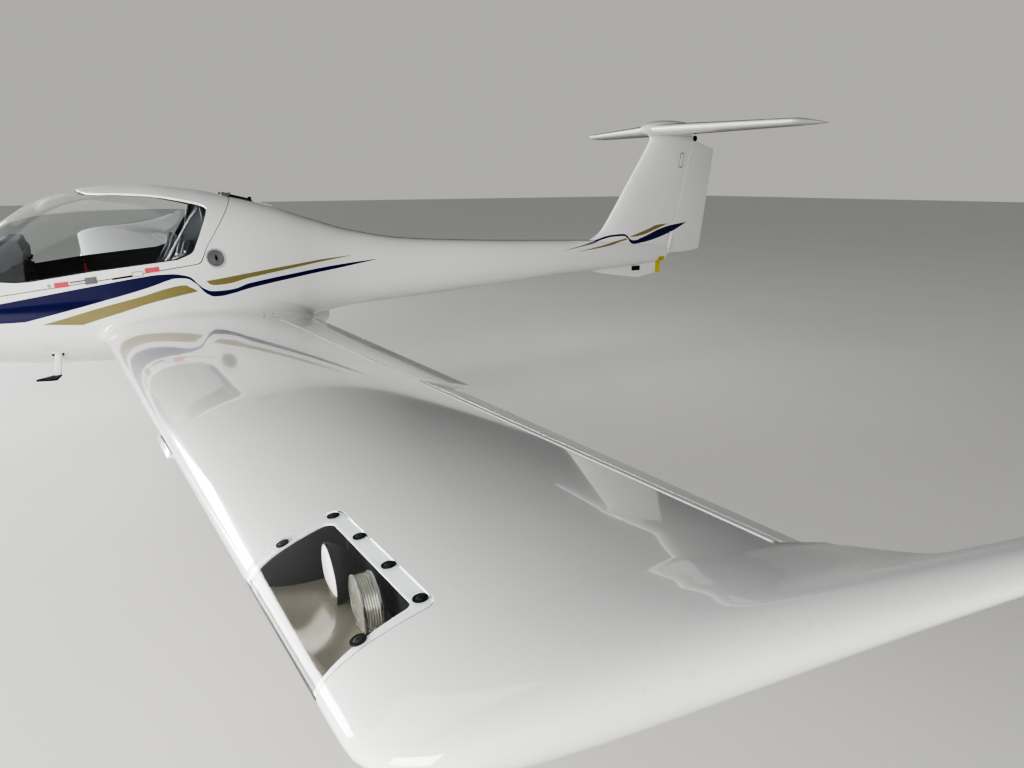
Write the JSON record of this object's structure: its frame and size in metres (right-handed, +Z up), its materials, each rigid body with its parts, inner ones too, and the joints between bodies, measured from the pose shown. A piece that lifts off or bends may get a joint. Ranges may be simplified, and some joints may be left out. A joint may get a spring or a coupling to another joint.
{
  "type": "two-seat light aircraft",
  "caption": "Low-wing light aircraft with a T-tail, one large canopy, moving control surfaces, a propeller and a castering nose wheel.",
  "frame": {"origin": "on the floor, under the middle of the whole length and span", "axes": "+X to the nose, +Y to the left wing tip, +Z up"},
  "size_m": [7.2327, 10.87, 2.171],
  "materials": {
    "white_paint": "gloss",
    "cabin_black": "matte",
    "cabin_grey": "matte",
    "engine_metal": "matte",
    "steel": "satin",
    "gear_paint": "gloss",
    "tyre": "matte",
    "clear_glass": "gloss",
    "seat_cloth": "matte",
    "propeller_black": "satin",
    "red_glass": "gloss",
    "green_glass": "gloss"
  },
  "bodies": {
    "airframe": {"wing_left": "white_paint", "wing_right": "white_paint", "landing_light_cover": "clear_glass", "landing_lamps": "steel", "tip_light_left": "red_glass", "tip_light_right": "green_glass", "horizontal_stabilizer": "white_paint", "fuselage": "white_paint", "cowling_upper": "white_paint", "cowling_lower": "white_paint", "engine_block": "engine_metal", "exhaust_pipe": "steel", "main_gear_leg_left": "gear_paint", "main_gear_leg_right": "gear_paint", "nose_gear_leg": "gear_paint", "ventral_fin": "white_paint", "step_left": "gear_paint", "step_right": "gear_paint", "fuel_filler_cap": "cabin_grey", "spine_hatch": "white_paint", "instrument_panel": "cabin_black", "center_console": "cabin_grey", "seat_left": "cabin_grey", "seat_pad_left": "seat_cloth", "seat_right": "cabin_grey", "seat_pad_right": "seat_cloth", "rear_bulkhead": "cabin_black", "control_stick_left": "cabin_black", "control_stick_right": "cabin_black", "rudder_pedals": "cabin_grey"},
    "canopy": {"canopy_frame": "white_paint", "canopy_glass": "clear_glass"},
    "propeller_body": {"propeller": "propeller_black", "spinner": "white_paint"},
    "caster": {"nose_fork": "gear_paint"},
    "nose_wheel": {"nose_rim": "gear_paint", "nose_tyre": "tyre"},
    "main_wheel_left": {"main_rim_left": "gear_paint", "main_tyre_left": "tyre"},
    "main_wheel_right": {"main_rim_right": "gear_paint", "main_tyre_right": "tyre"},
    "aileron_left_body": {"aileron_left": "white_paint"},
    "aileron_right_body": {"aileron_right": "white_paint"},
    "flap_left_body": {"flap_left": "white_paint"},
    "flap_right_body": {"flap_right": "white_paint"},
    "elevator_body": {"elevator": "white_paint"},
    "rudder_body": {"rudder": "white_paint"}
  },
  "joints": [
    {"name": "propeller_spin", "type": "hinge", "parent": "airframe", "child": "propeller_body", "pos_m": [3.4265, 0, 1.075], "axis": [1, 0, 0], "continuous": true},
    {"name": "nose_caster", "type": "hinge", "parent": "airframe", "child": "caster", "pos_m": [3.1415, 0, 0.392], "axis": [0, 0, 1], "range_deg": [-60, 60]},
    {"name": "nose_wheel_spin", "type": "hinge", "parent": "caster", "child": "nose_wheel", "pos_m": [3.0465, 0, 0.168], "axis": [0, 1, 0], "continuous": true},
    {"name": "main_wheel_left_spin", "type": "hinge", "parent": "airframe", "child": "main_wheel_left", "pos_m": [1.2665, 0.95, 0.18], "axis": [0, 1, 0], "continuous": true},
    {"name": "main_wheel_right_spin", "type": "hinge", "parent": "airframe", "child": "main_wheel_right", "pos_m": [1.2665, -0.95, 0.18], "axis": [0, 1, 0], "continuous": true},
    {"name": "canopy_open", "type": "hinge", "parent": "airframe", "child": "canopy", "pos_m": [0.8745, 0, 1.566], "axis": [0, -1, 0], "range_deg": [0, 50]},
    {"name": "aileron_left_turn", "type": "hinge", "parent": "airframe", "child": "aileron_left_body", "pos_m": [0.84303, 3.14, 0.93054], "axis": [0.0382, 0.9969, 0.0682], "range_deg": [-8, 28]},
    {"name": "aileron_right_turn", "type": "hinge", "parent": "airframe", "child": "aileron_right_body", "pos_m": [0.84303, -3.14, 0.93054], "axis": [0.0382, -0.9969, 0.0682], "range_deg": [-8, 28]},
    {"name": "flap_left_turn", "type": "hinge", "parent": "airframe", "child": "flap_left_body", "pos_m": [0.75555, 0.856, 0.77356], "axis": [-0.0382, -0.9969, -0.0685], "range_deg": [0, 45]},
    {"name": "flap_right_turn", "type": "hinge", "parent": "airframe", "child": "flap_right_body", "pos_m": [0.75555, -0.856, 0.77356], "axis": [0.0382, -0.9969, 0.0685], "range_deg": [0, 45]},
    {"name": "elevator_turn", "type": "hinge", "parent": "airframe", "child": "elevator_body", "pos_m": [-3.3385, 0, 2.09], "axis": [0, 1, 0], "range_deg": [-15, 25]},
    {"name": "rudder_turn", "type": "hinge", "parent": "airframe", "child": "rudder_body", "pos_m": [-3.0755, 0, 0.975], "axis": [-0.2357, 0, 0.9718], "range_deg": [-27, 27]}
  ],
  "couplings": [
    {"joint": "aileron_right_turn", "follows": "aileron_left_turn", "ratio": 1},
    {"joint": "flap_right_turn", "follows": "flap_left_turn", "ratio": 1}
  ]
}
